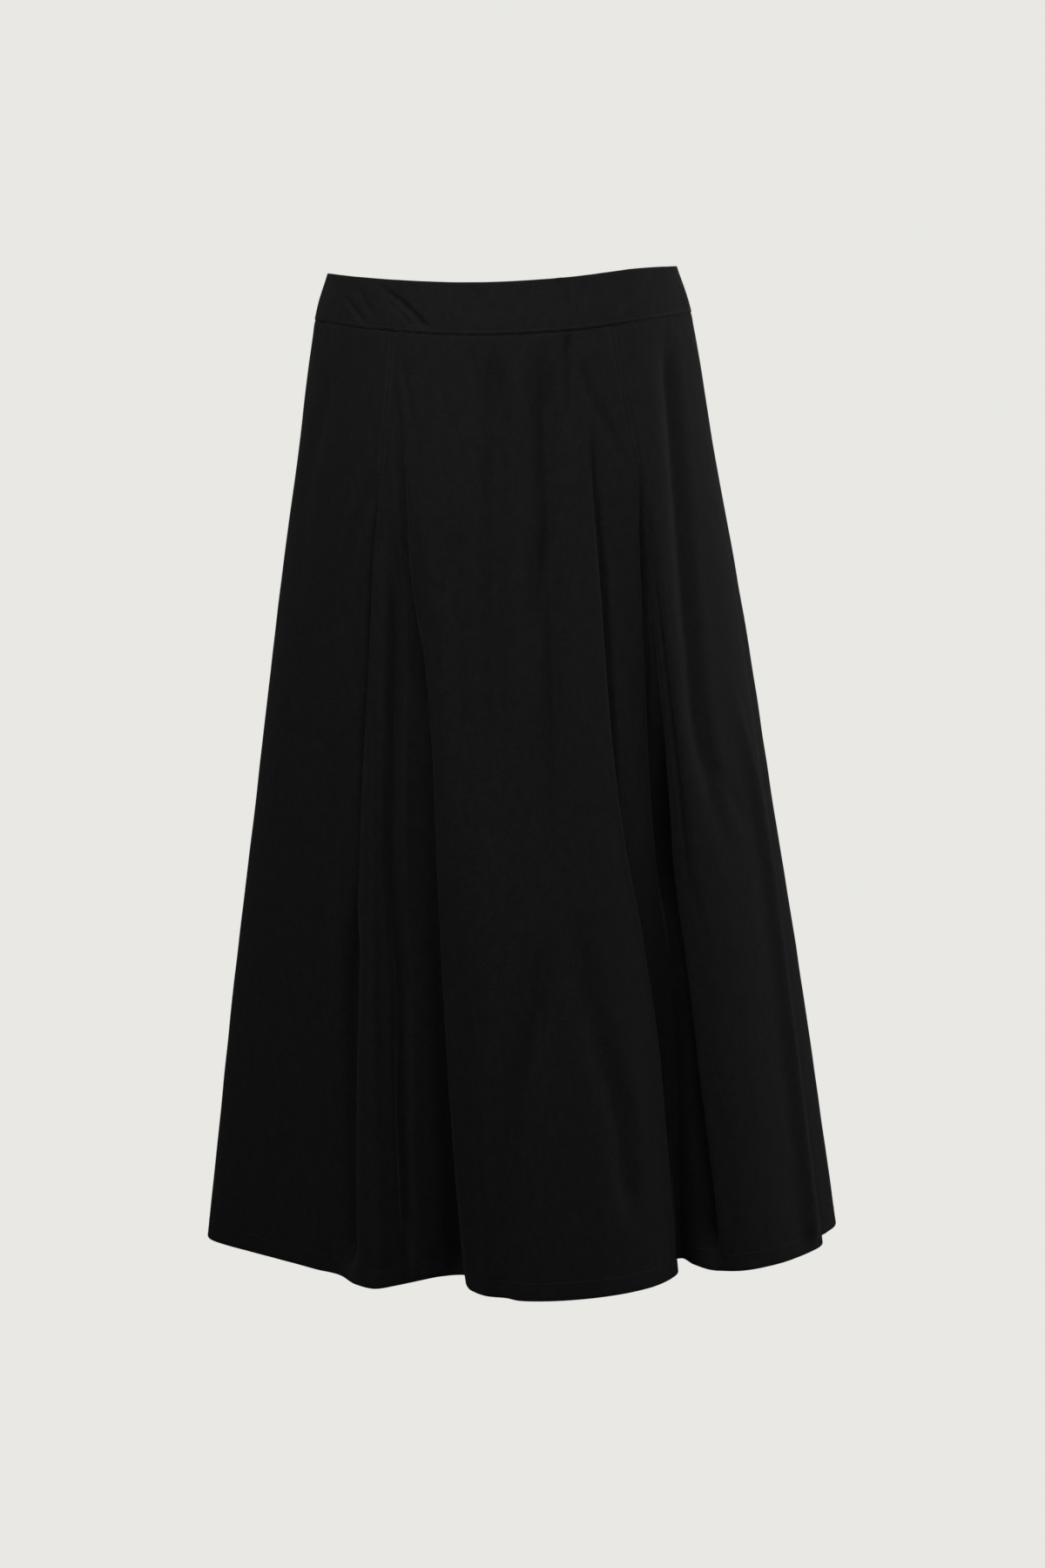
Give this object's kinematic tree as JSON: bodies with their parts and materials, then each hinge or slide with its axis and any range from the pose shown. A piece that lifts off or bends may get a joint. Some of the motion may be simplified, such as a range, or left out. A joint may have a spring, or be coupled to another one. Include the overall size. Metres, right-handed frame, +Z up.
{
  "type": "a-line midi skirt",
  "caption": "Black cotton A-line midi skirt, filled out and hollow, with a fitted waistband, stitched-down front pleats, soft hem folds and a concealed back zip.",
  "frame": {"origin": "centre of the waist, half way up the waistband at the centre front", "axes": "+Z up, along the skirt's length towards the waist; the front of the skirt faces -Y; +X is the wearer's left side"},
  "size_m": [0.5124, 0.4225, 0.7755],
  "materials": {
    "cloth": "matt woven cotton, black",
    "tape": "matt woven zip tape, black",
    "slider": "satin black lacquer"
  },
  "bodies": {
    "skirt": {"front_panel": "cloth", "back_left_panel": "cloth", "back_right_panel": "cloth", "front_waistband": "cloth", "back_left_waistband": "cloth", "back_right_waistband": "cloth", "left_pleat_intake": "cloth", "right_pleat_intake": "cloth", "zip_tape": "tape", "zip_slider": "slider"},
    "pull": {"zip_pull": "slider"}
  },
  "joints": [
    {"name": "zip_pull_swing", "type": "hinge", "parent": "skirt", "child": "pull", "pos_m": [0, 0.10674, 0.00754], "axis": [1, 0, 0], "range_deg": [0, 165]}
  ]
}
